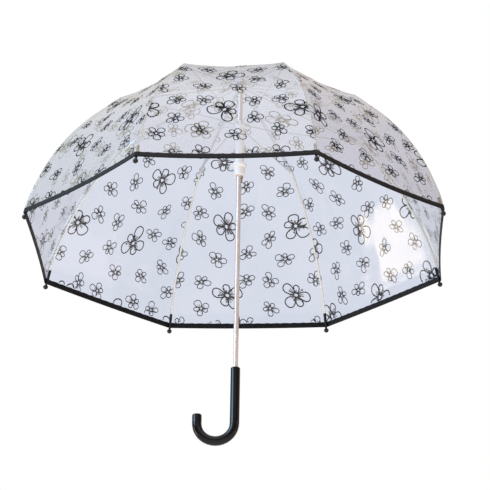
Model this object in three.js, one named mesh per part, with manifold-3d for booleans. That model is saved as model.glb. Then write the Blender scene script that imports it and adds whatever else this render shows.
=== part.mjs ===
// Clear bubble umbrella: a domed film canopy on eight jointed ribs, a sliding runner with eight stretchers,
// a slim steel shaft with two spring catches, and a crook handle.
// Millimetres, +Z up. The origin is on the shaft's axis, at the middle of the handle's straight limb.
// The crook bends towards -X. It is drawn open; the runner slides down the shaft to close it.
import * as THREE from "three";
import { mergeVertices } from "three/addons/utils/BufferGeometryUtils.js";
import Module from "manifold-3d";

const wasm = await Module();
wasm.setup();

// ---------- driving dimensions ----------
const RIBS = 8;
const RIB_STEP = (2 * Math.PI) / RIBS;
const FIRST_RIB = -Math.PI / 2 - RIB_STEP / 2; // the front pair of ribs stands either side of -Y
const CLEAR = 0.35; // running clearance between pieces

const RIM_Z = 258; // height of the hem's corners above the grip

// Rib joints in a rib's own plane: [distance from the axis, height].
const CROWN_PIVOT = [7.8, RIM_Z + 287.5];
const KNUCKLE = [202.4, RIM_Z + 226.2];
const RIB_END = [351.9, RIM_Z - 0.7];
const LOWER_RIB_SAGITTA = 25; // how far the bowed lower rib stands off its chord
const RUNNER_PIVOT = [7.8, RIM_Z + 219];

const SHAFT_R = 4;
const SHAFT_BORE_R = 3.4;
const SHAFT_BOTTOM = 8;
const SHAFT_TOP = RIM_Z + 305;

const LIMB_R = 7.6;
const LIMB_TOP = 46;
const LIMB_BOTTOM = -47;
const CROOK_R = 29.5;
const CROOK_END_RISE = 14.5;
const HANDLE_EDGE_R = 1.2;
const HANDLE_SIDES = 18;

const HUB_R = 9.6;
const HUB_SLOT_WIDTH = 2.6;
const HUB_SLOT_FLOOR_R = 5.45;
const WIRE_R = 0.55; // the ring wires that the rib and stretcher eyes hang on
const CROWN_BOTTOM = RIM_Z + 283;
const CROWN_TOP = RIM_Z + 292;

const RUNNER_TOP = RIM_Z + 222.5;
const RUNNER_BOTTOM = RIM_Z + 125.5;
const RUNNER_BORE_R = 4.5;
const RUNNER_BODY_R = 7.8;
const RUNNER_FLANGE_R = 12;
const RUNNER_FOOT_R = 9.2;
const KEYWAY_R = 7.1; // inside the runner, lets a pressed catch pass
const KEYWAY_WIDTH = 2.4;

const CATCH_THICKNESS = 1.4;
const CATCH_REACH = 6.8;
const CATCH_HEIGHT = 14.5;
const TOP_CATCH_SHOULDER = RUNNER_BOTTOM - 0.5;
const BOTTOM_CATCH_SHOULDER = RIM_Z - 136;

const UPPER_ROD_R = 0.85; // upper ribs and stretchers
const LOWER_ROD_R = 1.4;
const EYE_R = 2;
const EYE_HOLE_R = 0.97;
const EYE_THICKNESS = 1.6;
const CLEVIS_HALF_HEIGHT = 2.3;
const CLEVIS_WIDTH = 4.5;
const CLEVIS_SLOT = 2.7;
const CLEVIS_BACK = 12; // length of the clevis behind its pin
const PIN_R = 0.8;
const STRETCHER_SIDE = 4.2; // the stretchers' outer ends run this far beside the ribs
const STRETCHER_BACK = 8; // the stretcher's rivet is this far before the knuckle
const STRETCHER_DROP = 1.2; // and this far under the rib's centreline

const TIP_SLEEVE_R = 2.4;
const TIP_SLEEVE_LENGTH = 20;
const TIP_BALL_R = 4.25;
const TIP_BALL_DROP = 9.7; // ball centre beyond the rib's end point

const FILM_T = 0.4;
const FILM_SAG = 5.5; // how far a panel's middle is drawn in at the knuckles
const HEM_SAG = 3.5; // and at the hem
const FILM_SEAM_GAP = 0.3;
const FILM_OFF_KNUCKLE = 5.6; // how far the film's seam stands off the ribs' centreline
const FILM_OFF_LOWER = 2.7;
const FILM_OFF_TIP = 4.2;
const HEM_DROP = 3; // how far the hem hangs below the ribs' ends
const HEM_BULGE = 2.5; // and how much further in the middle of a panel
const HEM_TAPE_T = 1.4;
const HEM_TAPE_SHARE = 0.03; // share of the lower panel's height that the tape covers
const FILM_APEX_Z = CROWN_TOP + 1.1;
const FILM_HOLE_R = 5;

// ---------- materials ----------
const paint = (color, roughness, metalness, more = {}) =>
  new THREE.MeshStandardMaterial({ color, roughness, metalness, ...more });
const clearFilm = { transparent: true, opacity: 0.35 };

// ---------- solids ----------
function solidOf(geometry) {
  const bare = geometry.index ? geometry.toNonIndexed() : geometry.clone();
  bare.deleteAttribute("normal");
  bare.deleteAttribute("uv");
  const merged = mergeVertices(bare, 1e-4);
  return new wasm.Manifold(
    new wasm.Mesh({
      numProp: 3,
      vertProperties: merged.attributes.position.array,
      triVerts: new Uint32Array(merged.index.array),
    }),
  );
}

function geometryOf(solid) {
  const mesh = solid.getMesh();
  const geometry = new THREE.BufferGeometry();
  geometry.setAttribute("position", new THREE.BufferAttribute(mesh.vertProperties, 3));
  geometry.setIndex(new THREE.BufferAttribute(mesh.triVerts, 1));
  return geometry;
}

const join = (...pieces) => geometryOf(pieces.map(solidOf).reduce((a, b) => a.add(b)));
const cut = (piece, ...tools) =>
  geometryOf(tools.map(solidOf).reduce((a, b) => a.subtract(b), solidOf(piece)));

function polygon(radius, sides) {
  const points = [];
  for (let i = 0; i < sides; i++) {
    const a = (2 * Math.PI * (i + 0.5)) / sides;
    points.push(new THREE.Vector2(radius * Math.cos(a), radius * Math.sin(a)));
  }
  return new THREE.Shape(points);
}

// A round bar between two points.
function rod(from, to, radius, sides) {
  const axis = new THREE.Vector3().subVectors(to, from);
  const geometry = new THREE.CylinderGeometry(radius, radius, axis.length(), sides);
  const up = new THREE.Vector3(0, 1, 0);
  const turn = new THREE.Quaternion().setFromUnitVectors(up, axis.clone().normalize());
  geometry.applyQuaternion(turn);
  const middle = new THREE.Vector3().addVectors(from, to).multiplyScalar(0.5);
  geometry.translate(middle.x, middle.y, middle.z);
  return geometry;
}

// A round bar along a curve.
function sweep(curve, radius, sides, steps) {
  return new THREE.ExtrudeGeometry(polygon(radius, sides), {
    steps,
    extrudePath: curve,
    bevelEnabled: false,
  });
}

// A flat outline in the XZ plane, given a thickness along Y about `side`.
function plate(outline, thickness, side = 0) {
  const geometry = new THREE.ExtrudeGeometry(outline, { depth: thickness, bevelEnabled: false });
  geometry.rotateX(Math.PI / 2);
  geometry.translate(0, side + thickness / 2, 0);
  return geometry;
}

// A cylinder along Y.
const pin = (radius, length, sides) => new THREE.CylinderGeometry(radius, radius, length, sides);

function block(sizes, centre) {
  const geometry = new THREE.BoxGeometry(...sizes);
  geometry.translate(...centre);
  return geometry;
}

// A turned solid about Z from [radius, height] pairs.
function turned(profile, segments) {
  const points = profile.map(([r, z]) => new THREE.Vector2(r, z));
  const geometry = new THREE.LatheGeometry(points, segments);
  geometry.rotateX(Math.PI / 2);
  return geometry;
}

// A turned ring: the profile closes on itself.
const turnedRing = (profile, segments) => turned([...profile, profile[0]], segments);

// ---------- rib geometry in a rib's own plane ----------
const at = ([r, z], side = 0) => new THREE.Vector3(r, side, z);

// The lower rib's bow: centre, radius and start angle of its arc.
function lowerArc() {
  const [kr, kz] = KNUCKLE;
  const [er, ez] = RIB_END;
  const chord = Math.hypot(er - kr, ez - kz);
  const radius = (chord * chord) / 8 / LOWER_RIB_SAGITTA + LOWER_RIB_SAGITTA / 2;
  const along = [(er - kr) / chord, (ez - kz) / chord];
  const inward = [along[1], -along[0]];
  const drop = radius - LOWER_RIB_SAGITTA;
  const centre = [(kr + er) / 2 + inward[0] * drop, (kz + ez) / 2 + inward[1] * drop];
  const start = Math.atan2(kz - centre[1], kr - centre[0]);
  const end = Math.atan2(ez - centre[1], er - centre[0]);
  return { centre, radius, start, end };
}

const ARC = lowerArc();

// A point on the lower rib's bow at share v, standing `off` outside the centreline.
function lowerPoint(v, off = 0) {
  const a = ARC.start + (ARC.end - ARC.start) * v;
  const r = ARC.radius + off;
  return [ARC.centre[0] + r * Math.cos(a), ARC.centre[1] + r * Math.sin(a)];
}

const upperAngle = Math.atan2(KNUCKLE[1] - CROWN_PIVOT[1], KNUCKLE[0] - CROWN_PIVOT[0]);

// A point `back` before the knuckle along the upper rib and `off` outside its centreline.
function beforeKnuckle(back, off = 0) {
  const c = Math.cos(upperAngle);
  const s = Math.sin(upperAngle);
  return [KNUCKLE[0] - back * c - off * s, KNUCKLE[1] - back * s + off * c];
}

// ---------- core pieces ----------
function catchSlot(bottom, top) {
  const margin = 0.7;
  const height = top - bottom + 2 * margin;
  const width = CATCH_THICKNESS + 2 * 0.4;
  return block([SHAFT_R + 2, width, height], [SHAFT_R / 2 + 1, 0, (bottom + top) / 2]);
}

function shaft() {
  const tube = turnedRing(
    [
      [SHAFT_BORE_R, SHAFT_BOTTOM],
      [SHAFT_R, SHAFT_BOTTOM],
      [SHAFT_R, SHAFT_TOP],
      [SHAFT_BORE_R, SHAFT_TOP],
    ],
    28,
  );
  return cut(
    tube,
    catchSlot(TOP_CATCH_SHOULDER - CATCH_HEIGHT, TOP_CATCH_SHOULDER),
    catchSlot(BOTTOM_CATCH_SHOULDER, BOTTOM_CATCH_SHOULDER + CATCH_HEIGHT),
  );
}

function handle() {
  const boreR = SHAFT_R + CLEAR;
  const boreFloor = SHAFT_BOTTOM - 3;
  // The rounded edge of a cut end at height `top`.
  const edge = (top) => [
    [LIMB_R, top - HANDLE_EDGE_R],
    [LIMB_R - 0.35 * HANDLE_EDGE_R, top - 0.35 * HANDLE_EDGE_R],
    [LIMB_R - HANDLE_EDGE_R, top],
  ];
  const limb = turned(
    [
      [0, LIMB_BOTTOM],
      [LIMB_R, LIMB_BOTTOM],
      ...edge(LIMB_TOP),
      [boreR, LIMB_TOP],
      [boreR, boreFloor],
      [0, boreFloor],
    ],
    HANDLE_SIDES,
  );
  const overlap = 1;
  const path = [new THREE.Vector3(0, 0, LIMB_BOTTOM + overlap)];
  const turns = 12;
  for (let i = 0; i <= turns; i++) {
    const a = -(Math.PI * i) / turns;
    const x = -CROOK_R + CROOK_R * Math.cos(a);
    path.push(new THREE.Vector3(x, 0, LIMB_BOTTOM + CROOK_R * Math.sin(a)));
  }
  path.push(new THREE.Vector3(-2 * CROOK_R, 0, LIMB_BOTTOM + overlap));
  const crook = sweep(
    new THREE.CatmullRomCurve3(path, false, "centripetal"),
    LIMB_R,
    HANDLE_SIDES,
    18,
  );
  const endTop = LIMB_BOTTOM + CROOK_END_RISE;
  const end = turned([[0, LIMB_BOTTOM], [LIMB_R, LIMB_BOTTOM], ...edge(endTop), [0, endTop]], HANDLE_SIDES);
  end.translate(-2 * CROOK_R, 0, 0);
  return join(limb, crook, end);
}

// The slots and the wire channel that a hub has for its eyes. Slots run from `floor` to `roof`.
function hubCuts(pivot, floor, roof) {
  const channel = WIRE_R + CLEAR;
  const [r, z] = pivot;
  const cuts = [
    turnedRing(
      [
        [r - channel, z - channel],
        [r + channel, z - channel],
        [r + channel, z + channel],
        [r - channel, z + channel],
      ],
      32,
    ),
  ];
  const length = HUB_R + 2 - HUB_SLOT_FLOOR_R;
  for (let i = 0; i < RIBS; i++) {
    const slot = block(
      [length, HUB_SLOT_WIDTH, roof - floor],
      [HUB_SLOT_FLOOR_R + length / 2, 0, (floor + roof) / 2],
    );
    slot.rotateZ(FIRST_RIB + i * RIB_STEP);
    cuts.push(slot);
  }
  return cuts;
}

function crown() {
  const boreR = SHAFT_R + CLEAR;
  const edge = 0.8;
  const hub = turnedRing(
    [
      [boreR, CROWN_BOTTOM],
      [HUB_R - 1.2, CROWN_BOTTOM],
      [HUB_R, CROWN_BOTTOM + 1.2],
      [HUB_R, CROWN_TOP - edge],
      [HUB_R - edge, CROWN_TOP],
      [boreR, CROWN_TOP],
    ],
    32,
  );
  return cut(hub, ...hubCuts(CROWN_PIVOT, CROWN_BOTTOM - 1, CROWN_PIVOT[1] + EYE_R + 0.5));
}

function ringWire([r, z]) {
  const wire = new THREE.TorusGeometry(r, WIRE_R, 5, 32);
  wire.translate(0, 0, z);
  return wire;
}

function filmWasher() {
  const bottom = FILM_APEX_Z + FILM_T / 2 + 0.4;
  const thickness = 1.6;
  return turnedRing(
    [
      [SHAFT_R + CLEAR, bottom],
      [HUB_R, bottom],
      [HUB_R, bottom + 0.7],
      [HUB_R - 0.9, bottom + thickness],
      [SHAFT_R + CLEAR, bottom + thickness],
    ],
    28,
  );
}

function ferrule() {
  const bottom = FILM_APEX_Z + FILM_T / 2 + 2.4;
  const boreR = SHAFT_R + CLEAR;
  const boreTop = SHAFT_TOP + 1;
  const top = bottom + 22;
  return turned(
    [
      [boreR, bottom],
      [7.2, bottom],
      [7.2, bottom + 2],
      [6, bottom + 3.2],
      [4.6, top - 4],
      [4.2, top - 1],
      [3.4, top],
      [0, top],
      [0, boreTop],
      [boreR - 0.4, boreTop],
      [boreR, boreTop - 0.4],
      [boreR, bottom],
    ],
    24,
  );
}

function runner() {
  const b = RUNNER_BOTTOM;
  const headBottom = RUNNER_PIVOT[1] - 4;
  const barrel = turnedRing(
    [
      [RUNNER_BORE_R, b],
      [RUNNER_FOOT_R - 0.8, b],
      [RUNNER_FOOT_R, b + 0.8],
      [RUNNER_FOOT_R, b + 14],
      [RUNNER_FLANGE_R - 0.8, b + 15.6],
      [RUNNER_FLANGE_R, b + 16.4],
      [RUNNER_FLANGE_R, b + 20.4],
      [RUNNER_FLANGE_R - 0.8, b + 21.2],
      [RUNNER_BODY_R + 0.8, b + 23],
      [RUNNER_BODY_R, b + 28],
      [RUNNER_BODY_R, headBottom - 2],
      [HUB_R, headBottom],
      [HUB_R, RUNNER_TOP],
      [RUNNER_BORE_R, RUNNER_TOP],
    ],
    32,
  );
  const height = RUNNER_TOP - b + 4;
  const keyway = block(
    [KEYWAY_R, KEYWAY_WIDTH, height],
    [KEYWAY_R / 2, 0, (RUNNER_TOP + b) / 2],
  );
  // The window that the bottom catch springs into once the runner is down.
  const closedShift = runnerTravel();
  const windowHeight = CATCH_HEIGHT + 2;
  const windowMiddle = BOTTOM_CATCH_SHOULDER + CATCH_HEIGHT / 2 + closedShift;
  const window = block([6, KEYWAY_WIDTH, windowHeight], [KEYWAY_R + 1, 0, windowMiddle]);
  return cut(
    barrel,
    keyway,
    window,
    ...hubCuts(RUNNER_PIVOT, RUNNER_PIVOT[1] - EYE_R - 0.6, RUNNER_TOP + 1),
  );
}

// A spring-steel catch: a toothed plate in the shaft's slot with its leaf inside the tube.
// The square shoulder faces up on the top catch and down on the bottom one.
function springCatch(shoulder, way) {
  const base = 0.6;
  const far = shoulder - way * CATCH_HEIGHT;
  const outline = new THREE.Shape([
    new THREE.Vector2(base, shoulder),
    new THREE.Vector2(base, far),
    new THREE.Vector2(SHAFT_R - 0.1, far),
    new THREE.Vector2(CATCH_REACH, shoulder - way * 2.5),
    new THREE.Vector2(CATCH_REACH, shoulder),
  ]);
  const leafLength = 17;
  const leaf = block(
    [0.5, 3, leafLength + 3],
    [base - 0.1, 0, far - (way * leafLength) / 2 + way * 1.5],
  );
  return join(plate(outline, CATCH_THICKNESS), leaf);
}

// ---------- rib pieces, each drawn in the plane of a rib along +X ----------
function eye([r, z], thickness) {
  const disc = pin(EYE_R, thickness, 10);
  disc.translate(r, 0, z);
  return disc;
}

function eyeHole([r, z], radius) {
  const hole = pin(radius, 6, 8);
  hole.translate(r, 0, z);
  return hole;
}

function upperRib() {
  const clevisShape = new THREE.Shape();
  const h = CLEVIS_HALF_HEIGHT;
  clevisShape.moveTo(-CLEVIS_BACK, -h * 0.6);
  clevisShape.lineTo(-CLEVIS_BACK + 2, -h);
  clevisShape.lineTo(0, -h);
  clevisShape.absarc(0, 0, h, -Math.PI / 2, Math.PI / 2, false);
  clevisShape.lineTo(-CLEVIS_BACK + 2, h);
  clevisShape.lineTo(-CLEVIS_BACK, h * 0.6);
  const cheeks = new THREE.ExtrudeGeometry(clevisShape, {
    depth: CLEVIS_WIDTH,
    bevelEnabled: false,
    curveSegments: 5,
  });
  cheeks.rotateX(Math.PI / 2);
  cheeks.translate(0, CLEVIS_WIDTH / 2, 0);
  const slotFloor = -3;
  const slotLength = 8;
  const slot = block([slotLength, CLEVIS_SLOT, 8], [slotFloor + slotLength / 2, 0, 0]);
  const clevis = join(cut(cheeks, slot), pin(PIN_R, CLEVIS_WIDTH + 1, 8));
  clevis.rotateY(-upperAngle);
  clevis.translate(KNUCKLE[0], 0, KNUCKLE[1]);
  const bar = rod(at(CROWN_PIVOT), at(beforeKnuckle(CLEVIS_BACK - 2)), UPPER_ROD_R, 8);
  return cut(
    join(bar, eye(CROWN_PIVOT, EYE_THICKNESS), clevis),
    eyeHole(CROWN_PIVOT, EYE_HOLE_R),
  );
}

function lowerRib() {
  const barFrom = 0.032;
  const points = [];
  const samples = 9;
  for (let i = 0; i <= samples; i++)
    points.push(at(lowerPoint(barFrom + ((1 - barFrom) * i) / samples)));
  const bar = sweep(new THREE.CatmullRomCurve3(points), LOWER_ROD_R, 8, 9);
  // The rod's end is pressed into a flat tongue that fits the clevis.
  const thickness = CLEVIS_SLOT - 2 * CLEAR;
  const neck = 1.25;
  const tongueLength = 13;
  const tongue = block([tongueLength, thickness, 2 * neck], [tongueLength / 2, 0, 0]);
  const eyeDisc = pin(EYE_R, thickness, 12);
  const flat = join(tongue, eyeDisc);
  const [r, z] = lowerPoint(0.045);
  flat.rotateY(-Math.atan2(z - KNUCKLE[1], r - KNUCKLE[0]));
  flat.translate(...at(KNUCKLE).toArray());
  return cut(join(bar, flat), eyeHole(KNUCKLE, PIN_R + CLEAR));
}

function stretcher() {
  const outer = beforeKnuckle(STRETCHER_BACK, -STRETCHER_DROP);
  const dr = outer[0] - RUNNER_PIVOT[0];
  const dz = outer[1] - RUNNER_PIVOT[1];
  const length = Math.hypot(dr, dz);
  const point = (d, side) =>
    at([RUNNER_PIVOT[0] + (dr * d) / length, RUNNER_PIVOT[1] + (dz * d) / length], side);
  const crank = new THREE.CatmullRomCurve3(
    [
      point(1, 0),
      point(12, 0),
      point(18, 0.35),
      point(36, STRETCHER_SIDE - 0.35),
      point(42, STRETCHER_SIDE),
      point(48, STRETCHER_SIDE),
    ],
    false,
    "centripetal",
  );
  const inner = sweep(crank, UPPER_ROD_R, 8, 6);
  const bar = rod(point(46.5, STRETCHER_SIDE), point(length, STRETCHER_SIDE), UPPER_ROD_R, 8);
  const stubInner = CLEVIS_WIDTH / 2 + CLEAR;
  const stubOuter = STRETCHER_SIDE + UPPER_ROD_R + 0.3;
  const rivet = pin(1.7, stubOuter - stubInner, 10);
  rivet.translate(outer[0], (stubInner + stubOuter) / 2, outer[1]);
  return cut(
    join(inner, bar, eye(RUNNER_PIVOT, EYE_THICKNESS), rivet),
    eyeHole(RUNNER_PIVOT, EYE_HOLE_R),
  );
}

// A ball-ended plastic tip over the lower rib's end, drawn along -Z and then laid on the rib.
function ribTip() {
  const boreR = LOWER_ROD_R + 0.55;
  const ballTop = -TIP_BALL_DROP + TIP_BALL_R * 0.82;
  const profile = [
    [boreR, TIP_SLEEVE_LENGTH],
    [TIP_SLEEVE_R - 0.3, TIP_SLEEVE_LENGTH],
    [TIP_SLEEVE_R, TIP_SLEEVE_LENGTH - 1],
    [TIP_SLEEVE_R, -1],
    [2, -3],
    [2, ballTop - 0.6],
  ];
  const arcs = 5;
  for (let i = 1; i < arcs; i++) {
    const a = Math.PI / 2 - 0.6 - ((Math.PI - 0.6) * i) / arcs;
    profile.push([TIP_BALL_R * Math.cos(a), -TIP_BALL_DROP + TIP_BALL_R * Math.sin(a)]);
  }
  profile.push([0, -TIP_BALL_DROP - TIP_BALL_R], [0, -0.8], [boreR, -0.8]);
  const tip = turnedRing(profile.reverse(), 12);
  // The sleeve follows the chord of the bowed rib inside it.
  const [r, z] = lowerPoint(1 - TIP_SLEEVE_LENGTH / ARC.radius / (ARC.start - ARC.end));
  tip.rotateY(-Math.atan2(RIB_END[1] - z, RIB_END[0] - r) - Math.PI / 2);
  tip.translate(RIB_END[0], 0, RIB_END[1]);
  return tip;
}

// ---------- canopy film ----------
// A seam's point and outward direction in the rib's plane. Upper part: v 0 at the crown, 1 at the knuckle.
const kneeNormal = (upperAngle + Math.PI / 2 + ARC.start) / 2;
const KNEE = [
  KNUCKLE[0] + FILM_OFF_KNUCKLE * Math.cos(kneeNormal),
  KNUCKLE[1] + FILM_OFF_KNUCKLE * Math.sin(kneeNormal),
];
const SHOULDER_R = 10.4; // the film lies flat on the crown out to here
const SHOULDER_V = 0.06;

const mix = (a, b, share) => a + (b - a) * share;
const ramp = (v, from, to) => Math.min(1, Math.max(0, (v - from) / (to - from)));

function upperSeam(v) {
  if (v <= SHOULDER_V) {
    const r = mix(FILM_HOLE_R, SHOULDER_R, v / SHOULDER_V);
    return { r, z: FILM_APEX_Z, normal: Math.PI / 2 };
  }
  const share = ramp(v, SHOULDER_V, 1);
  return {
    r: mix(SHOULDER_R, KNEE[0], share),
    z: mix(FILM_APEX_Z, KNEE[1], share),
    normal: mix(upperAngle + Math.PI / 2, kneeNormal, share),
  };
}

// Lower part: v 0 at the knuckle, 1 at the hem.
function lowerSeam(v) {
  const offTop = mix(FILM_OFF_KNUCKLE, FILM_OFF_LOWER, ramp(v, 0, 0.12));
  const off = mix(offTop, FILM_OFF_TIP, ramp(v, 0.8, 0.92));
  const [r, z] = lowerPoint(v, off);
  const along = mix(ARC.start, ARC.end, v);
  const kneeShare = 1 - ramp(v, 0, 0.12);
  if (v < 0.01) return { r: KNEE[0] + v * 200, z: KNEE[1] - v * 200, normal: kneeNormal };
  return { r, z, normal: mix(along, kneeNormal, kneeShare) };
}

const upperSag = (v) => FILM_SAG * v * v;
const lowerSag = (v) => mix(FILM_SAG, HEM_SAG, v);

// How far a point of the lower film hangs below its seam's height.
const hemDrop = (v, share) => (HEM_DROP + HEM_BULGE * share * (2 - share)) * ramp(v, 0.75, 1) ** 2;

// The film about one rib, out to the middle of the panel on each side.
// `side` runs from -1 to 1 across it, `depth` from -1/2 to 1/2 through it.
function filmPoint(seam, sag, side, depth) {
  const share = Math.abs(side);
  const way = Math.sign(side);
  const half = RIB_STEP / 2;
  const reach = share * (seam.r * Math.sin(half) - FILM_SEAM_GAP / 2);
  const drawn = sag * share * (2 - share) - depth;
  const face = [Math.cos(half), way * Math.sin(half)];
  const flat = share === 0 ? [1, 0] : face;
  const c = Math.cos(seam.normal);
  return new THREE.Vector3(
    seam.r - reach * Math.sin(half) - drawn * c * flat[0],
    way * reach * Math.cos(half) - drawn * c * flat[1],
    seam.z - drawn * Math.sin(seam.normal),
  );
}

function filmPanel({ seamAt, sagAt, dropAt, from, to, rows, thicknessAt }) {
  const across = 6;
  const geometry = new THREE.BoxGeometry(2, 1, 1, across, 1, rows.length - 1);
  const position = geometry.attributes.position;
  for (let i = 0; i < position.count; i++) {
    const row = Math.round((position.getZ(i) + 0.5) * (rows.length - 1));
    const v = from + (to - from) * rows[row];
    const [inner, outer] = thicknessAt(v);
    const depth = position.getY(i) > 0 ? outer : inner;
    const p = filmPoint(seamAt(v), sagAt(v), position.getX(i), depth);
    position.setXYZ(i, p.x, p.y, p.z - dropAt(v, Math.abs(position.getX(i))));
  }
  return geometryOf(solidOf(geometry));
}

const evenRows = (count) => Array.from({ length: count + 1 }, (_, i) => i / count);

function upperFilm() {
  const rows = [0, SHOULDER_V, 0.3, 0.53, 0.73, 0.88, 1];
  return filmPanel({
    seamAt: upperSeam,
    sagAt: upperSag,
    dropAt: () => 0,
    from: 0,
    to: 0.9985,
    rows,
    thicknessAt: () => [-FILM_T / 2, FILM_T / 2],
  });
}

function lowerFilm() {
  const tapeFrom = 1 - HEM_TAPE_SHARE;
  const rows = [...evenRows(8).slice(0, -1), tapeFrom - 0.001, tapeFrom, 1];
  const outerFace = (v) => (v >= tapeFrom - 0.0005 ? HEM_TAPE_T - FILM_T / 2 : FILM_T / 2);
  return filmPanel({
    seamAt: lowerSeam,
    sagAt: lowerSag,
    dropAt: hemDrop,
    from: 0.0015,
    to: 1,
    rows,
    thicknessAt: (v) => [-FILM_T / 2, outerFace(v)],
  });
}

// ---------- motion, only as far as the shapes need it ----------
// How far the runner slides down to lay the knuckles beside the shaft.
function runnerTravel() {
  const closedKnuckleR = 18;
  const ribLength = Math.hypot(KNUCKLE[0] - CROWN_PIVOT[0], KNUCKLE[1] - CROWN_PIVOT[1]);
  const folded = -Math.acos((closedKnuckleR - CROWN_PIVOT[0]) / ribLength);
  const turn = folded - upperAngle;
  const outer = beforeKnuckle(STRETCHER_BACK, -STRETCHER_DROP);
  const dr = outer[0] - CROWN_PIVOT[0];
  const dz = outer[1] - CROWN_PIVOT[1];
  const r = CROWN_PIVOT[0] + dr * Math.cos(turn) - dz * Math.sin(turn);
  const z = CROWN_PIVOT[1] + dr * Math.sin(turn) + dz * Math.cos(turn);
  const length = Math.hypot(outer[0] - RUNNER_PIVOT[0], outer[1] - RUNNER_PIVOT[1]);
  const drop = Math.sqrt(length * length - (r - RUNNER_PIVOT[0]) ** 2);
  return RUNNER_PIVOT[1] - (z - drop);
}

// ---------- assembly ----------
const umbrella = new THREE.Group();

function add(group, name, geometry, material) {
  const mesh = new THREE.Mesh(geometry, material);
  mesh.name = name;
  group.add(mesh);
}

const steel = paint(0xc9c6c0, 0.28, 0.9);
const whitePlastic = paint(0xf2efec, 0.4, 0);
add(umbrella, "shaft", shaft(), steel.clone());
add(umbrella, "handle", handle(), paint(0x17161a, 0.18, 0));
add(umbrella, "crown", crown(), whitePlastic.clone());
add(umbrella, "crown_ring", ringWire(CROWN_PIVOT), steel.clone());
add(umbrella, "film_washer", filmWasher(), whitePlastic.clone());
add(umbrella, "ferrule", ferrule(), whitePlastic.clone());
add(umbrella, "runner", runner(), whitePlastic.clone());
add(umbrella, "runner_ring", ringWire(RUNNER_PIVOT), steel.clone());
add(umbrella, "top_catch", springCatch(TOP_CATCH_SHOULDER, 1), paint(0x9a8a78, 0.35, 0.9));
add(umbrella, "bottom_catch", springCatch(BOTTOM_CATCH_SHOULDER, -1), paint(0x9a8a78, 0.35, 0.9));

const ribPieces = [
  ["rib_upper", upperRib(), paint(0xb4b6ba, 0.35, 0.85)],
  ["rib_lower", lowerRib(), paint(0xeee8d8, 0.5, 0)],
  ["rib_tip", ribTip(), paint(0x141416, 0.3, 0)],
  ["stretcher", stretcher(), paint(0xb9bbbf, 0.35, 0.85)],
  ["film_upper", upperFilm(), paint(0xdfe2ea, 0.08, 0, clearFilm)],
  ["film_lower", lowerFilm(), paint(0xdfe2ea, 0.08, 0, clearFilm)],
];

for (let i = 0; i < RIBS; i++) {
  const arm = new THREE.Group();
  arm.rotation.z = FIRST_RIB + i * RIB_STEP;
  for (const [name, geometry, material] of ribPieces)
    add(arm, `${name}_${i + 1}`, geometry, material.clone());
  umbrella.add(arm);
}

export default umbrella;
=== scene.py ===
"""Clear bubble umbrella: the printed film canopy, its welds and hem tape, and every material.

The film is drawn in each rib's own plane and turned round the shaft, as the ribs are. Along a panel's
middle line t runs from 0 at the crown, through 1 at the knuckles, to 2 at the hem.
"""
import math
import random

import bpy
import numpy as np
from mathutils import Matrix, Vector


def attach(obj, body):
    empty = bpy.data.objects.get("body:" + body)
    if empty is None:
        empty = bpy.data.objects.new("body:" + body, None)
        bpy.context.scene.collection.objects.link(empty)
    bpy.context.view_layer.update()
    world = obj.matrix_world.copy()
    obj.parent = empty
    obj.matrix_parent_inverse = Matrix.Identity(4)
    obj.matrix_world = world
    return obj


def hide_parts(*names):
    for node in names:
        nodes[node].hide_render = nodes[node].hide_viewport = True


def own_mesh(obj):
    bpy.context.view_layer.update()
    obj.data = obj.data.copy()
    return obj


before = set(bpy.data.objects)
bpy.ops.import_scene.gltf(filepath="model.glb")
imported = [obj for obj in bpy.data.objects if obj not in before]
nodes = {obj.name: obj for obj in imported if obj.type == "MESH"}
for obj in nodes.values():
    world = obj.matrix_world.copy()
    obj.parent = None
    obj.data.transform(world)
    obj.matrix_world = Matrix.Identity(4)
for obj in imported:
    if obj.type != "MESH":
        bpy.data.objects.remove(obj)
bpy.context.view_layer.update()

MM = 0.001

# ---------- driving dimensions, in the frame's metres ----------
RIBS = 8
STEP = 2 * math.pi / RIBS
HALF = STEP / 2
FIRST_RIB = -math.pi / 2 - HALF

RIM_Z = 258 * MM
CROWN_PIVOT = np.array([7.8 * MM, RIM_Z + 287.5 * MM])
KNUCKLE = np.array([202.4 * MM, RIM_Z + 226.2 * MM])
RIB_END = np.array([351.9 * MM, RIM_Z - 0.7 * MM])
BOW = 25 * MM  # how far the bowed lower rib stands off its chord

FILM_APEX_Z = RIM_Z + 293.1 * MM
FILM_HOLE_R = 5 * MM
SHOULDER_R = 10.4 * MM  # the film lies flat on the crown out to here
SHOULDER_T = 0.06
FILM_SAG = 5.5 * MM  # how far a panel's middle is drawn in at the knuckles
HEM_SAG = 3.5 * MM  # and at the hem
OFF_KNUCKLE = 5.6 * MM  # how far the seams stand off the ribs' centrelines
OFF_LOWER = 2.7 * MM
OFF_TIP = 4.2 * MM
HEM_DROP = 3 * MM  # how far the hem hangs below the ribs' ends
HEM_BULGE = 2.5 * MM  # and how much further in the middle of a panel
RIPPLE = 0.9 * MM  # how far the stretched film buckles
FILM_STEP = 9 * MM  # the film's mesh is about this fine

TAPE_WIDTH = 8.2 * MM
TAPE_HALF_T = 0.75 * MM
WELD_HALF_W = 1.5 * MM
WELD_RISE = 0.25 * MM

LIGHT_DISTANCE = 2.4

PRINT_TILE = 119 * MM
PRINT_RISE = 0.2 * MM
PRINT_REACH = 200 * MM  # more than half a panel's width
PRINT_ROWS = range(-1, 6)  # repeats down a panel, with room to spare at both ends
PRINT_SEED = 11
BIG_FLOWER = 40 * MM  # flowers over this size have bolder lines and more of them
BIG_LINE = 2.0 * MM
SMALL_LINE = 1.4 * MM


def mix(a, b, share):
    return a + (b - a) * share


def ramp(value, low, high):
    return np.clip((value - low) / (high - low), 0, 1)


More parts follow.
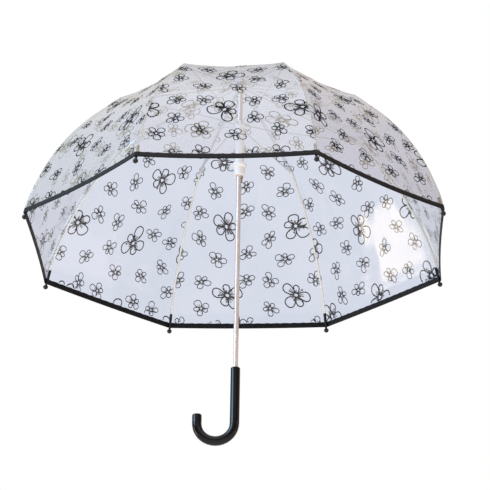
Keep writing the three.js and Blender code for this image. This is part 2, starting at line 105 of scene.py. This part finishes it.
# ---------- the film's surface ----------
upper_angle = math.atan2(*(KNUCKLE - CROWN_PIVOT)[::-1])


def bow_arc():
    """Centre, radius, start and end angle of the lower rib's bow."""
    across = RIB_END - KNUCKLE
    chord = np.hypot(*across)
    radius = chord**2 / 8 / BOW + BOW / 2
    inward = np.array([across[1], -across[0]]) / chord
    centre = (KNUCKLE + RIB_END) / 2 + inward * (radius - BOW)
    start, end = (math.atan2(*(p - centre)[::-1]) for p in (KNUCKLE, RIB_END))
    return centre, radius, start, end


arc_centre, arc_radius, arc_start, arc_end = bow_arc()
knee_normal = (upper_angle + math.pi / 2 + arc_start) / 2
KNEE = KNUCKLE + OFF_KNUCKLE * np.array([math.cos(knee_normal), math.sin(knee_normal)])


def seam(t):
    """Distance from the shaft, height and outward angle of a seam, in its rib's plane."""
    share = ramp(t, SHOULDER_T, 1)
    flat = ramp(t, 0, SHOULDER_T)
    r = np.where(t < SHOULDER_T, mix(FILM_HOLE_R, SHOULDER_R, flat), mix(SHOULDER_R, KNEE[0], share))
    z = mix(FILM_APEX_Z, KNEE[1], share)
    normal = mix(upper_angle + math.pi / 2, knee_normal, share)
    v = np.clip(t - 1, 0, 1)
    knee_share = 1 - ramp(v, 0, 0.12)
    off = mix(OFF_LOWER, OFF_KNUCKLE, knee_share)
    off = mix(off, OFF_TIP, ramp(v, 0.8, 0.92))
    angle = mix(arc_start, arc_end, v)
    lower_r = arc_centre[0] + (arc_radius + off) * np.cos(angle)
    lower_z = arc_centre[1] + (arc_radius + off) * np.sin(angle)
    near = ramp(v, 0, 0.02)
    lower_r, lower_z = mix(KNEE[0], lower_r, near), mix(KNEE[1], lower_z, near)
    lower = t > 1
    return (
        np.where(lower, lower_r, r),
        np.where(lower, lower_z, z),
        np.where(lower, mix(angle, knee_normal, knee_share), normal),
    )


def sag(t):
    return np.where(t > 1, mix(FILM_SAG, HEM_SAG, ramp(t, 1, 2)), FILM_SAG * np.minimum(t, 1) ** 2)


def rib_angle(rib):
    return FIRST_RIB + rib * STEP


def ripple(panel, t, across):
    """Shallow buckles of stretched film. across is 0 on a panel's middle line and -1 or 1 on its seams."""
    shift = 1.7 * panel
    fade = (1 - across**2) * ramp(t, 0.1, 0.7) * ramp(2 - t, 0.02, 0.3)
    waves = np.sin(7.3 * t + 2.1 * across + shift) * np.cos(5.2 * across - 1.9 * t + 2 * shift)
    fine = np.sin(15.1 * t - 6.4 * across + 3 * shift) * np.cos(9.7 * across + 4.2 * t - shift)
    return RIPPLE * fade * (waves + 0.45 * fine)


def film_points(rib, way, t, share, rise=0.0):
    """Points on the film on one side of a rib. share is 0 on the seam and 1 in the middle of the panel."""
    t, share = np.broadcast_arrays(np.asarray(t, float), np.asarray(share, float))
    r, z, normal = seam(t)
    panel = (rib if way > 0 else rib - 1) % RIBS
    reach = share * r * math.sin(HALF)
    drawn = sag(t) * share * (2 - share) - rise - ripple(panel, t, way * (share - 1))
    lean = np.minimum(share / 0.02, 1) * HALF
    x = r - reach * math.sin(HALF) - drawn * np.cos(normal) * np.cos(lean)
    y = way * (reach * math.cos(HALF) - drawn * np.cos(normal) * np.sin(lean))
    hang = (HEM_DROP + HEM_BULGE * share * (2 - share)) * ramp(t, 1.75, 2) ** 2
    z = z - drawn * np.sin(normal) - hang
    a = rib_angle(rib)
    return np.stack([x * math.cos(a) - y * math.sin(a), x * math.sin(a) + y * math.cos(a), z], -1)


def film_normals(rib, way, t, share):
    small = 1e-3
    along = film_points(rib, way, np.minimum(t + small, 2), share) - film_points(rib, way, t - small, share)
    inner, outer = np.maximum(share - small, 0), share + small
    over = film_points(rib, way, t, outer) - film_points(rib, way, t, inner)
    normal = np.cross(along, over) * way
    return normal / np.linalg.norm(normal, axis=-1, keepdims=True)


# ---------- mesh helpers ----------
def piece_of(name, points, faces, material, smooth=True, normals=None):
    mesh = bpy.data.meshes.new(name)
    mesh.from_pydata([tuple(p) for p in points], [], faces)
    mesh.materials.append(material)
    mesh.polygons.foreach_set("use_smooth", [smooth] * len(mesh.polygons))
    if normals is not None:
        mesh.normals_split_custom_set_from_vertices([tuple(n) for n in normals])
    piece = bpy.data.objects.new(name, mesh)
    bpy.context.scene.collection.objects.link(piece)
    return piece


def grid_faces(rows, columns, start=0, closed=False, flip=False):
    """Quads of a grid of points, row by row. A closed grid joins its last column to its first."""
    faces = []
    for i in range(rows - 1):
        for j in range(columns if closed else columns - 1):
            a, b = start + i * columns + j, start + i * columns + (j + 1) % columns
            face = (a, a + columns, b + columns, b)
            faces.append(face[::-1] if flip else face)
    return faces


# ---------- materials ----------
class Shader:
    """A node tree that is built one node at a time."""

    def __init__(self, name, kind="materials"):
        self.owner = getattr(bpy.data, kind).new(name)
        self.owner.use_nodes = True
        self.tree = self.owner.node_tree
        self.tree.nodes.clear()
        self.place = self.add("ShaderNodeTexCoord").outputs["Object"]

    def add(self, kind, values=None, **settings):
        made = self.tree.nodes.new(kind)
        for key, value in settings.items():
            setattr(made, key, value)
        for key, value in (values or {}).items():
            if isinstance(value, bpy.types.NodeSocket):
                self.tree.links.new(value, made.inputs[key])
            else:
                made.inputs[key].default_value = value
        return made

    def stretched(self, scale):
        return self.add("ShaderNodeMapping", {"Vector": self.place, "Scale": scale}).outputs["Vector"]

    def noise(self, scale, detail=3.0, roughness=0.5, vector=None):
        values = {"Vector": vector or self.place, "Scale": scale, "Detail": detail, "Roughness": roughness}
        return self.add("ShaderNodeTexNoise", values).outputs["Fac"]

    def between(self, fac, low, high, start=0.3, end=0.7):
        """A colour that runs from low to high as fac runs from start to end."""
        stops = self.add("ShaderNodeValToRGB", {"Fac": fac})
        for stop, position, colour in zip(stops.color_ramp.elements, (start, end), (low, high)):
            stop.position = position
            stop.color = (*colour, 1)
        return stops.outputs["Color"]

    def span(self, fac, low, high):
        """A number that runs from low to high as fac runs from 0.25 to 0.75."""
        values = {"Value": fac, "From Min": 0.25, "From Max": 0.75, "To Min": low, "To Max": high}
        return self.add("ShaderNodeMapRange", values).outputs["Result"]

    def bump(self, height, distance, strength=1.0, normal=None):
        values = {"Height": height, "Distance": distance, "Strength": strength}
        if normal is not None:
            values["Normal"] = normal
        return self.add("ShaderNodeBump", values).outputs["Normal"]

    def finish(self, shader):
        self.add("ShaderNodeOutputMaterial", {"Surface": shader.outputs[0]})
        return self.owner


def plastic(name, low, high, rough, grain, bump=0.35, ior=1.5, painted_reflection_tint=(1, 1, 1)):
    """Moulded plastic: faint mottling, a fine grain and slight changes in gloss. A tint other than white is a
    painted reflection colour.
    """
    s = Shader(name)
    mottle = s.noise(35, 4)
    fine = s.noise(grain, 2)
    values = {
        "Base Color": s.between(mottle, low, high),
        "Roughness": s.span(s.noise(90, 3), *rough),
        "Normal": s.bump(fine, 0.02 * MM, bump),
        "IOR": ior,
        "Specular Tint": (*painted_reflection_tint, 1),
    }
    return s.finish(s.add("ShaderNodeBsdfPrincipled", values))


def drawn_metal(name, low, high, rough, metallic=1.0):
    """Wire and tube: fine scratches along the draw, and duller patches."""
    s = Shader(name)
    streaks = s.noise(900, 2, 0.6, s.stretched((1, 1, 0.04)))
    patches = s.noise(60, 4)
    values = {
        "Base Color": s.between(patches, low, high),
        "Metallic": metallic,
        "Roughness": s.span(patches, *rough),
        "Normal": s.bump(streaks, 0.003 * MM, 0.3),
    }
    return s.finish(s.add("ShaderNodeBsdfPrincipled", values))


def film_material(name, low, high, haze, grain=0.0):
    """Clear film: tinted, more mirror-like at a glance, with a faint haze that carries painted light: warm
    and stronger on the outer face, cool and weaker on the inner face.
    """
    s = Shader(name)
    tint = s.between(s.noise(9, 2), low, high)
    normal = s.bump(s.noise(26, 2, 0.4), 1.0 * MM, 0.2)
    if grain:
        dots = s.add("ShaderNodeTexVoronoi", {"Vector": s.place, "Scale": 900}).outputs["Distance"]
        normal = s.bump(dots, grain, 0.6, normal)
    clear = s.add("ShaderNodeBsdfTransparent", {"Color": tint})
    inside = s.add("ShaderNodeNewGeometry").outputs["Backfacing"]
    # Painted light: the haze is warm and stronger on the outer face and cool and weaker on the inner face,
    # standing in for warm light from above and cool light from below.
    painted_warm_cool_light = s.between(inside, (1.0, 0.90, 0.76), (0.9, 0.93, 1.0), 0.0, 1.0)
    haze_with_painted_light = s.add("ShaderNodeBsdfDiffuse", {"Color": painted_warm_cool_light})
    values = {"Value": inside, "To Min": haze, "To Max": 0.15 * haze}
    share = s.add("ShaderNodeMapRange", values).outputs["Result"]
    body = s.add("ShaderNodeMixShader", {"Fac": share, 1: clear.outputs[0], 2: haze_with_painted_light.outputs[0]})
    rough = s.span(s.noise(40, 3), 0.06, 0.13)
    gloss = s.add("ShaderNodeBsdfGlossy", {"Color": (1, 1, 1, 1), "Roughness": rough, "Normal": normal})
    glance = s.add("ShaderNodeLayerWeight", {"Blend": 0.5, "Normal": normal}).outputs["Facing"]
    steep = s.add("ShaderNodeMath", {0: glance, 1: 4.0}, operation="POWER").outputs[0]
    mirror = s.add("ShaderNodeMapRange", {"Value": steep, "To Min": 0.05, "To Max": 0.8}).outputs["Result"]
    return s.finish(s.add("ShaderNodeMixShader", {"Fac": mirror, 1: body.outputs[0], 2: gloss.outputs[0]}))


film = film_material("clear_film", (0.665, 0.705, 0.82), (0.70, 0.735, 0.845), 0.22)
weld = film_material("welded_film", (0.72, 0.75, 0.80), (0.78, 0.80, 0.83), 0.2, 0.08 * MM)
ink = plastic("black_ink", (0.002, 0.002, 0.003), (0.008, 0.007, 0.008), (0.5, 0.65), 2500, ior=1.2)
tape = plastic("black_tape", (0.003, 0.003, 0.005), (0.007, 0.007, 0.010), (0.42, 0.6), 1800, ior=1.35)
# The handle's blue reflection tint is a painted reflection: it colours the glossy black plastic's reflections
# blue in place of a blue light.
handle_gloss = plastic(
    "handle_plastic", (0.005, 0.002, 0.002), (0.009, 0.005, 0.005), (0.04, 0.08), 300,
    bump=0.05, painted_reflection_tint=(0.72, 0.88, 1.0),
)
tip_black = plastic("tip_plastic", (0.006, 0.006, 0.008), (0.012, 0.012, 0.014), (0.25, 0.36), 900)
white_plastic = plastic("white_plastic", (0.90, 0.88, 0.88), (0.94, 0.93, 0.93), (0.3, 0.42), 900)
rib_cream = plastic("cream_fibreglass", (0.80, 0.78, 0.68), (0.88, 0.86, 0.77), (0.38, 0.5), 1600)
shaft_steel = drawn_metal("shaft_steel", (0.84, 0.72, 0.68), (0.90, 0.78, 0.74), (0.16, 0.24), 0.5)
rib_steel = drawn_metal("rib_steel", (0.60, 0.62, 0.66), (0.70, 0.72, 0.75), (0.35, 0.5), 0.4)
catch_steel = drawn_metal("catch_steel", (0.38, 0.30, 0.22), (0.50, 0.41, 0.32), (0.3, 0.45))

SLOT_MATERIALS = {
    "shaft_steel": shaft_steel,
    "handle_gloss": handle_gloss,
    "white_plastic": white_plastic,
    "wire_steel": rib_steel,
    "catch_steel": catch_steel,
    "rib_steel": rib_steel,
    "rib_fibreglass": rib_cream,
    "tip_plastic": tip_black,
    "film": film,
}


def finish_cad_nodes():
    """Gives every CAD node its material and smooth shading up to its real edges."""
    for name, node in nodes.items():
        slot = node.data.materials[0].name
        node.data.materials[0] = SLOT_MATERIALS[slot]
        if "custom_normal" in node.data.attributes:
            node.data.attributes.remove(node.data.attributes["custom_normal"])
        node.data.polygons.foreach_set("use_smooth", [True] * len(node.data.polygons))
        joined = node.modifiers.new("join", "WELD")
        joined.merge_threshold = 0.01 * MM
        edges = node.modifiers.new("edges", "EDGE_SPLIT")
        edges.split_angle = math.radians(38)
        even = node.modifiers.new("even", "WEIGHTED_NORMAL")
        even.keep_sharp = True


# ---------- film ----------
def rows_between(start, end):
    """Shares t down a panel, about FILM_STEP apart along the seam."""
    t = np.linspace(start, end, 200)
    r, z, _ = seam(t)
    length = np.concatenate([[0], np.cumsum(np.hypot(np.diff(r), np.diff(z)))])
    count = max(2, round(length[-1] / FILM_STEP))
    return np.interp(np.linspace(0, length[-1], count + 1), length, t)


def fold_with_ribs(piece):
    """Gives half a panel its own copy of its mesh."""
    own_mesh(piece)


PARTS = {  # stretches of a half panel: start, end, and the stem of the body that it rides on
    "upper": (SHOULDER_T, 1.0, "rib_upper"),
    "middle": (1.0, 1.5, "rib_lower"),
    "lower": (1.5, 2.0, "rib_lower"),
}


def half_panel(rib, way, part):
    start, end, stem = PARTS[part]
    t = rows_between(start, end)
    columns = max(4, round(float(seam(np.array(end))[0]) * math.sin(HALF) / FILM_STEP))
    share = np.linspace(0, 1, columns + 1)
    rows, across = np.meshgrid(t, share, indexing="ij")
    points = film_points(rib, way, rows, across)
    normals = film_normals(rib, way, rows, across)
    name = f"film_{part}_{rib + 1}_{'left' if way > 0 else 'right'}"
    faces = grid_faces(len(t), len(share), flip=way < 0)
    piece = piece_of(name, points.reshape(-1, 3), faces, film, normals=normals.reshape(-1, 3))
    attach(piece, f"{stem}_{rib + 1}")
    return piece


# ---------- print ----------
def petal(angle, length, width, points):
    """A rounded petal's outline, from the flower's middle out and back."""
    outline = []
    for i in range(points + 1):
        turn = math.pi * (0.93 - 1.86 * i / points)
        u = length * (0.56 + 0.44 * math.cos(turn))
        w = width * math.sin(turn) * (0.78 + 0.3 * math.cos(turn))
        c, n = math.cos(angle), math.sin(angle)
        outline.append((u * c - w * n, u * n + w * c))
    return outline


def flower(size, draw):
    """Strokes of a line-drawn flower with five uneven petals, about its middle: points and widths."""
    big = size > BIG_FLOWER
    line = BIG_LINE if big else SMALL_LINE
    strokes = []
    lean = draw.uniform(0, 2 * math.pi)
    for k, share in enumerate((1.14, 0.84, 1.0, 0.76, 1.06)):
        angle = lean + k * 2 * math.pi / 5 + draw.uniform(-0.16, 0.16)
        length = size / 2 * share * draw.uniform(0.92, 1.08)
        strokes.append((petal(angle, length, length * draw.uniform(0.34, 0.44), 14 if big else 9), line))
        for side in (-0.22, 0.02, 0.24) if big else (-0.2, 0.2):
            vein = angle + side + draw.uniform(-0.06, 0.06)
            reach = length * draw.uniform(0.34, 0.58)
            ends = [(r * math.cos(vein), r * math.sin(vein)) for r in (0.13 * length, 0.6 * reach, reach)]
            strokes.append((ends, line * 0.62))
    for k in range(6 if big else 4):
        angle = lean + (k + 0.5) * 2 * math.pi / 5 + draw.uniform(-0.3, 0.3)
        reach = size * draw.uniform(0.2, 0.32)
        tip = (reach * math.cos(angle), reach * math.sin(angle))
        strokes.append(([(0.2 * tip[0], 0.2 * tip[1]), tip], line * 0.6))
        dot = (tip[0] * 1.12, tip[1] * 1.12)
        strokes.append(([(0.94 * tip[0], 0.94 * tip[1]), dot], line * 1.5))
    turn, squeeze = draw.uniform(0, math.pi), 0.78
    c, n = math.cos(turn), math.sin(turn)

    def tilted(x, y):
        u, v = c * x + n * y, squeeze * (c * y - n * x)
        return c * u - n * v, n * u + c * v

    return [([tilted(x, y) for x, y in points], width) for points, width in strokes]


# Flowers in one repeat: place as shares of the tile, and size. The places and the tile's width were measured
# in the photo and rounded, so this layout is the photo's and not an invented one.
REPEAT = (
    (0.0, 0.0, 54 * MM),
    (0.38, 0.18, 31 * MM),
    (0.15, 0.48, 33 * MM),
    (-0.30, 0.40, 30 * MM),
    (-0.28, 0.78, 32 * MM),
    (0.38, 0.80, 31 * MM),
)


def ribbon(points, width):
    """Left and right edge points of a stroke."""
    p = np.array(points)
    along = np.gradient(p, axis=0)
    along /= np.linalg.norm(along, axis=1, keepdims=True)
    side = np.stack([-along[:, 1], along[:, 0]], -1) * width / 2
    return p + side, p - side


def panel_rows():
    """Distance down a panel's middle line from the crown, as a table against t."""
    t = np.linspace(0, 2, 400)
    r, z, normal = seam(t)
    middle_r = r * math.cos(HALF) - sag(t) * np.cos(normal)
    middle_z = z - sag(t) * np.sin(normal)
    steps = np.hypot(np.diff(middle_r), np.diff(middle_z))
    return t, np.concatenate([[0], np.cumsum(steps)])


def panel_print(draw):
    """One panel's printed quads: x and t of their corners, then x and t of their centres."""
    table_t, table_y = panel_rows()
    shift = (draw.uniform(-0.5, 0.5), draw.uniform(-0.5, 0.5))
    quads = []
    reach = int(PRINT_REACH / PRINT_TILE) + 2
    for row in PRINT_ROWS:
        for column in range(-reach, reach + 1):
            for px, py, size in REPEAT:
                x0 = (column + px + shift[0]) * PRINT_TILE
                y0 = (row + py + shift[1]) * PRINT_TILE
                strokes = flower(size, draw)
                if not -size < y0 < table_y[-1] + size:
                    continue
                if abs(x0) > float(seam(np.array(2.0))[0]) * math.sin(HALF) + size:
                    continue
                for points, width in strokes:
                    left, right = (edge + (x0, y0) for edge in ribbon(points, width))
                    for k in range(len(points) - 1):
                        quads.append((left[k], left[k + 1], right[k + 1], right[k]))
    corners = np.array(quads)
    x, y = corners[..., 0], corners[..., 1]
    t = np.interp(y, table_y, table_t)
    half_width = seam(t)[0] * math.sin(HALF)
    centre_x, centre_y = x.mean(1), y.mean(1)
    centre_t = np.interp(centre_y, table_y, table_t)
    room = seam(centre_t)[0] * math.sin(HALF)
    kept = (abs(centre_x) < room) & (centre_y > 0) & (centre_y < table_y[-1] - TAPE_WIDTH)
    kept &= centre_t > SHOULDER_T
    x = np.clip(x, -half_width, half_width)
    return x[kept], t[kept], centre_x[kept], centre_t[kept]


def print_pieces():
    """The print of every half panel, keyed by (rib, way, part)."""
    draw = random.Random(PRINT_SEED)
    made = {}
    for panel in range(RIBS):
        x, t, centre_x, centre_t = panel_print(draw)
        for way in (1, -1):
            rib = panel if way > 0 else (panel + 1) % RIBS
            for part, (start, end, stem) in PARTS.items():
                here = ((centre_x < 0) == (way > 0)) & (centre_t >= start) & (centre_t < end)
                if not here.any():
                    continue
                half_width = seam(t[here])[0] * math.sin(HALF)
                share = 1 + way * x[here] / half_width
                points = film_points(rib, way, t[here], share, PRINT_RISE).reshape(-1, 3)
                faces = [tuple(range(4 * k, 4 * k + 4)) for k in range(len(points) // 4)]
                name = f"print_{part}_{rib + 1}_{'left' if way > 0 else 'right'}"
                piece = piece_of(name, points, faces, ink)
                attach(piece, f"{stem}_{rib + 1}")
                made[rib, way, part] = piece
    return made


# ---------- hem tape and welds ----------
def frame_at(rib, way, t, share):
    """A film point with its outward normal and the direction towards the hem."""
    small = 2e-3
    point = film_points(rib, way, t, share)
    down = point - film_points(rib, way, t - small, share)
    down /= np.linalg.norm(down, axis=-1, keepdims=True)
    return point, film_normals(rib, way, t, share), down


def hem_tape(rib, way):
    """A tape folded over the film's edge, with a row of stitches on both faces."""
    columns = 24
    share = np.linspace(0, 1, columns + 1)
    point, normal, down = frame_at(rib, way, np.full_like(share, 2.0), share)
    section = [
        (-TAPE_WIDTH, 0.35),
        (-TAPE_WIDTH + 0.3 * MM, 1),
        (-0.8 * TAPE_WIDTH, 1.0),
        (-0.4 * TAPE_WIDTH, 1.12),
        (0.0, 1.0),
    ]
    fold = [(TAPE_HALF_T * math.cos(a), math.sin(a)) for a in np.linspace(math.pi / 2, -math.pi / 2, 7)[1:-1]]
    outline = section + fold + [(a, -b) for a, b in reversed(section)]
    points = []
    for i, (p, n, d) in enumerate(zip(point, normal, down)):
        swell = 1 + 0.05 * math.sin(2.3 * i + rib)
        points += [p + d * a * swell + n * b * TAPE_HALF_T for a, b in outline]
    count = len(outline)
    faces = grid_faces(columns + 1, count, closed=True, flip=way > 0)
    stitch_rows(points, faces, rib, way)
    name = f"hem_tape_{rib + 1}_{'left' if way > 0 else 'right'}"
    piece = piece_of(name, points, faces, tape)
    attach(piece, f"rib_lower_{rib + 1}")
    return piece


def stitch_rows(points, faces, rib, way):
    """Adds lentil-shaped stitches along the tape's upper edge, inside and outside."""
    pitch, length, wide, high = 3.6 * MM, 2.5 * MM, 0.32 * MM, 0.3 * MM
    width = float(seam(np.array(2.0))[0]) * math.sin(HALF)
    count = int(width / pitch)
    for k in range(count):
        share = np.array([(k + 0.5) / count])
        point, normal, down = (a[0] for a in frame_at(rib, way, np.full(1, 2.0), share))
        along = np.cross(normal, down)
        for face in (1, -1):
            middle = point - down * 0.8 * TAPE_WIDTH + normal * face * TAPE_HALF_T
            start = len(points)
            ends = [middle - along * length / 2, middle + along * length / 2]
            ring = [(wide, 0), (0, high), (-wide, 0), (0, -high)]
            points += [ends[0]] + [middle + down * a + normal * b for a, b in ring] + [ends[1]]
            for j in range(4):
                a, b = start + 1 + j, start + 1 + (j + 1) % 4
                faces += [(start, a, b), (start + 5, b, a)]


def weld_strip(rib, part, start, end, stem):
    """The welded double strip of film along a seam: a low ridge with rounded edges."""
    t = rows_between(start, end)
    edges = [(-1.0, 0.0), (-0.75, 1.0), (-0.35, 0.75), (0.0, 1.15), (0.35, 0.75), (0.75, 1.0), (1.0, 0.0)]
    rows = []
    for row in t:
        half_width = float(seam(np.array(row))[0]) * math.sin(HALF)
        for across, height in edges:
            way = 1 if across >= 0 else -1
            share = min(1.0, abs(across) * WELD_HALF_W / half_width)
            rise = 0.06 * MM + WELD_RISE * height
            rows.append(film_points(rib, way, row, share, rise))
    piece = piece_of(f"weld_{part}_{rib + 1}", rows, grid_faces(len(t), len(edges)), weld)
    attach(piece, f"{stem}_{rib + 1}")


def film_cap():
    """The film's middle, clamped flat under the washer."""
    turns = 48
    radii = np.linspace(FILM_HOLE_R - 0.3 * MM, SHOULDER_R + 0.5 * MM, 6)
    points = []
    for r in radii:
        drop = 0.25 * max(0.0, r - SHOULDER_R)
        for k in range(turns):
            a = 2 * math.pi * k / turns
            points.append((r * math.cos(a), r * math.sin(a), FILM_APEX_Z + 0.1 * MM - drop))
    piece = piece_of("film_cap", points, grid_faces(len(radii), turns, closed=True, flip=True), film)
    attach(piece, "umbrella_stick")


def build_canopy():
    prints = print_pieces()
    for rib in range(RIBS):
        for way in (1, -1):
            tape_piece = hem_tape(rib, way)
            for part, (start, end, stem) in PARTS.items():
                piece = half_panel(rib, way, part)
                extra = [prints[rib, way, part]] if (rib, way, part) in prints else []
                if part == "lower":
                    extra.append(tape_piece)
                for folded in [piece, *extra]:
                    fold_with_ribs(folded)
                if way > 0 and part != "lower":
                    stand_in = "film_upper" if part == "upper" else "film_lower"
                    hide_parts(f"{stand_in}_{rib + 1}")
        weld_strip(rib, "upper", SHOULDER_T, 1.0, "rib_upper")
        weld_strip(rib, "lower", 1.0, 1.985, "rib_lower")
    film_cap()


# ---------- camera, light and floor ----------
def make_camera():
    azimuth, elevation, roll = (math.radians(d) for d in (3.49, -24.80, 1.04))
    distance = 4.097
    back = Vector((
        math.sin(azimuth) * math.cos(elevation),
        -math.cos(azimuth) * math.cos(elevation),
        math.sin(elevation),
    ))
    right = Vector((math.cos(azimuth), math.sin(azimuth), 0))
    up = back.cross(right)
    turned_right = right * math.cos(roll) + up * math.sin(roll)
    turned_up = up * math.cos(roll) - right * math.sin(roll)
    data = bpy.data.cameras.new("camera")
    data.lens = 186.9
    data.sensor_width = 36
    data.shift_x = 0.0149
    data.shift_y = 0.0016
    data.clip_end = 100
    camera = bpy.data.objects.new("camera", data)
    place = Vector((0, 0, RIM_Z)) + back * distance
    camera.matrix_world = Matrix((
        (turned_right.x, turned_up.x, back.x, place.x),
        (turned_right.y, turned_up.y, back.y, place.y),
        (turned_right.z, turned_up.z, back.z, place.z),
        (0, 0, 0, 1),
    ))
    bpy.context.scene.collection.objects.link(camera)
    bpy.context.scene.camera = camera


def softbox(name, azimuth, elevation, size, radiance, colour, mirrored=True):
    """A soft light that faces the canopy. Azimuth 0 is the front, -Y, and 90 is +X, in degrees."""
    target = Vector((0, 0, RIM_Z + 0.1))
    a, e = math.radians(azimuth), math.radians(elevation)
    towards = Vector((math.sin(a) * math.cos(e), -math.cos(a) * math.cos(e), math.sin(e)))
    place = target + LIGHT_DISTANCE * towards
    data = bpy.data.lights.new(name, "AREA")
    data.shape = "RECTANGLE"
    data.size, data.size_y = size
    data.energy = radiance * math.pi * size[0] * size[1]
    data.color = colour
    light = bpy.data.objects.new(name, data)
    light.location = place
    light.rotation_euler = (target - place).to_track_quat("-Z", "Y").to_euler()
    light.visible_camera = False
    light.visible_glossy = mirrored
    bpy.context.scene.collection.objects.link(light)


def make_world():
    """A white backdrop. The room that lights and mirrors is a little warm, and brighter behind and above."""
    s = Shader("room", "worlds")
    ray_to = s.tree.nodes["Texture Coordinate"].outputs["Generated"]

    def facing(direction, start, end, low, high):
        """A brightness or share that runs from low to high as rays turn towards a direction."""
        vectors = {0: ray_to, 1: direction}
        dot = s.add("ShaderNodeVectorMath", vectors, operation="DOT_PRODUCT").outputs["Value"]
        values = {"Value": dot, "From Min": start, "From Max": end, "To Min": low, "To Max": high}
        return s.add("ShaderNodeMapRange", values, interpolation_type="SMOOTHSTEP").outputs["Result"]

    back = facing((0, 0.62, 0.5), 0.0, 0.75, 0.15, 0.74)
    overhead = facing((0, -0.42, 0.91), 0.6, 1.0, 0.0, 1.25)
    level = s.add("ShaderNodeMath", {0: back, 1: overhead}, operation="ADD").outputs[0]
    tint = s.between(facing((1, 0, 0), -1, 1, 0, 1), (0.96, 0.91, 0.84), (1.0, 0.88, 0.76), 0.2, 0.8)
    colour = s.add("ShaderNodeVectorMath", {0: tint, "Scale": level}, operation="SCALE").outputs[0]
    room = s.add("ShaderNodeBackground", {"Color": colour})
    seen = s.add("ShaderNodeBackground", {"Color": (1, 1, 1, 1)})
    ray = s.add("ShaderNodeLightPath").outputs["Is Camera Ray"]
    both = s.add("ShaderNodeMixShader", {"Fac": ray, 1: room.outputs[0], 2: seen.outputs[0]})
    s.add("ShaderNodeOutputWorld", {"Surface": both.outputs[0]})
    bpy.context.scene.world = s.owner


def make_floor():
    """A pale floor, well below the camera, which looks up at the umbrella."""
    s = Shader("floor")
    grey = s.between(s.noise(0.6, 3), (0.80, 0.80, 0.80), (0.84, 0.84, 0.84))
    values = {"Base Color": grey, "Roughness": 0.8}
    material = s.finish(s.add("ShaderNodeBsdfPrincipled", values))
    half, z = 30, -3
    corners = [(-half, -half, z), (half, -half, z), (half, half, z), (-half, half, z)]
    floor = piece_of("floor", corners, [(0, 1, 2, 3)], material, smooth=False)


make_camera()
finish_cad_nodes()
build_canopy()
make_world()
make_floor()
softbox("front_left", azimuth=-60, elevation=28, size=(1.4, 2.0), radiance=6.5, colour=(0.52, 0.80, 1.0))
softbox("window", azimuth=-86, elevation=-14, size=(0.42, 1.2), radiance=6, colour=(1.0, 0.82, 0.58))
softbox("right", azimuth=75, elevation=-5, size=(0.8, 1.6), radiance=0.9, colour=(1.0, 0.86, 0.78))
softbox(
    "front_fill", azimuth=15, elevation=-30, size=(1.4, 1.4), radiance=5,
    colour=(1.0, 0.95, 0.94), mirrored=False,
)
bpy.context.scene.view_settings.view_transform = "Standard"
